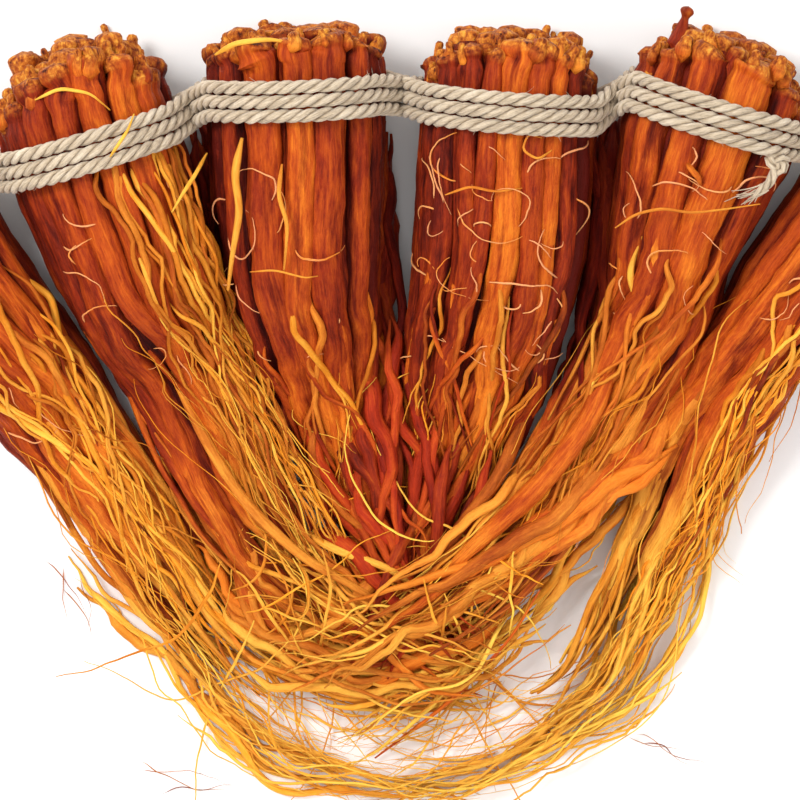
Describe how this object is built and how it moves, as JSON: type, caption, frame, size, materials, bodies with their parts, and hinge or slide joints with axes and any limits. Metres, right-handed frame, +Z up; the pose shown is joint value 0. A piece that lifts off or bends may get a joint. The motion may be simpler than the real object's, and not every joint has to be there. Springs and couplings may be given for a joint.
{
  "type": "laced ginseng root bunches",
  "caption": "Bunches of dried red ginseng roots laced side by side on a twisted cord, lying flat in a fan with the crowns at the top and the tails swept together below",
  "frame": {"origin": "middle of the footprint on the surface that the bunches lie on", "axes": "+X along the row of bunches, to the right with the crowns away from the viewer; +Y towards the crowns; +Z up from the surface"},
  "size_m": [0.2758, 0.1848, 0.043],
  "materials": {
    "dried_root": "dried root skin, red brown to golden at the tails, wrinkled lengthwise, faint gloss",
    "twisted_cord": "off-white twisted plant-fibre cord, matt"
  },
  "bodies": {
    "root": {"bunch_far_left": "dried_root", "bunch_left": "dried_root", "bunch_mid_left": "dried_root", "bunch_mid_right": "dried_root", "bunch_right": "dried_root", "bunch_far_right": "dried_root", "lacing_cord": "twisted_cord"}
  },
  "joints": []
}
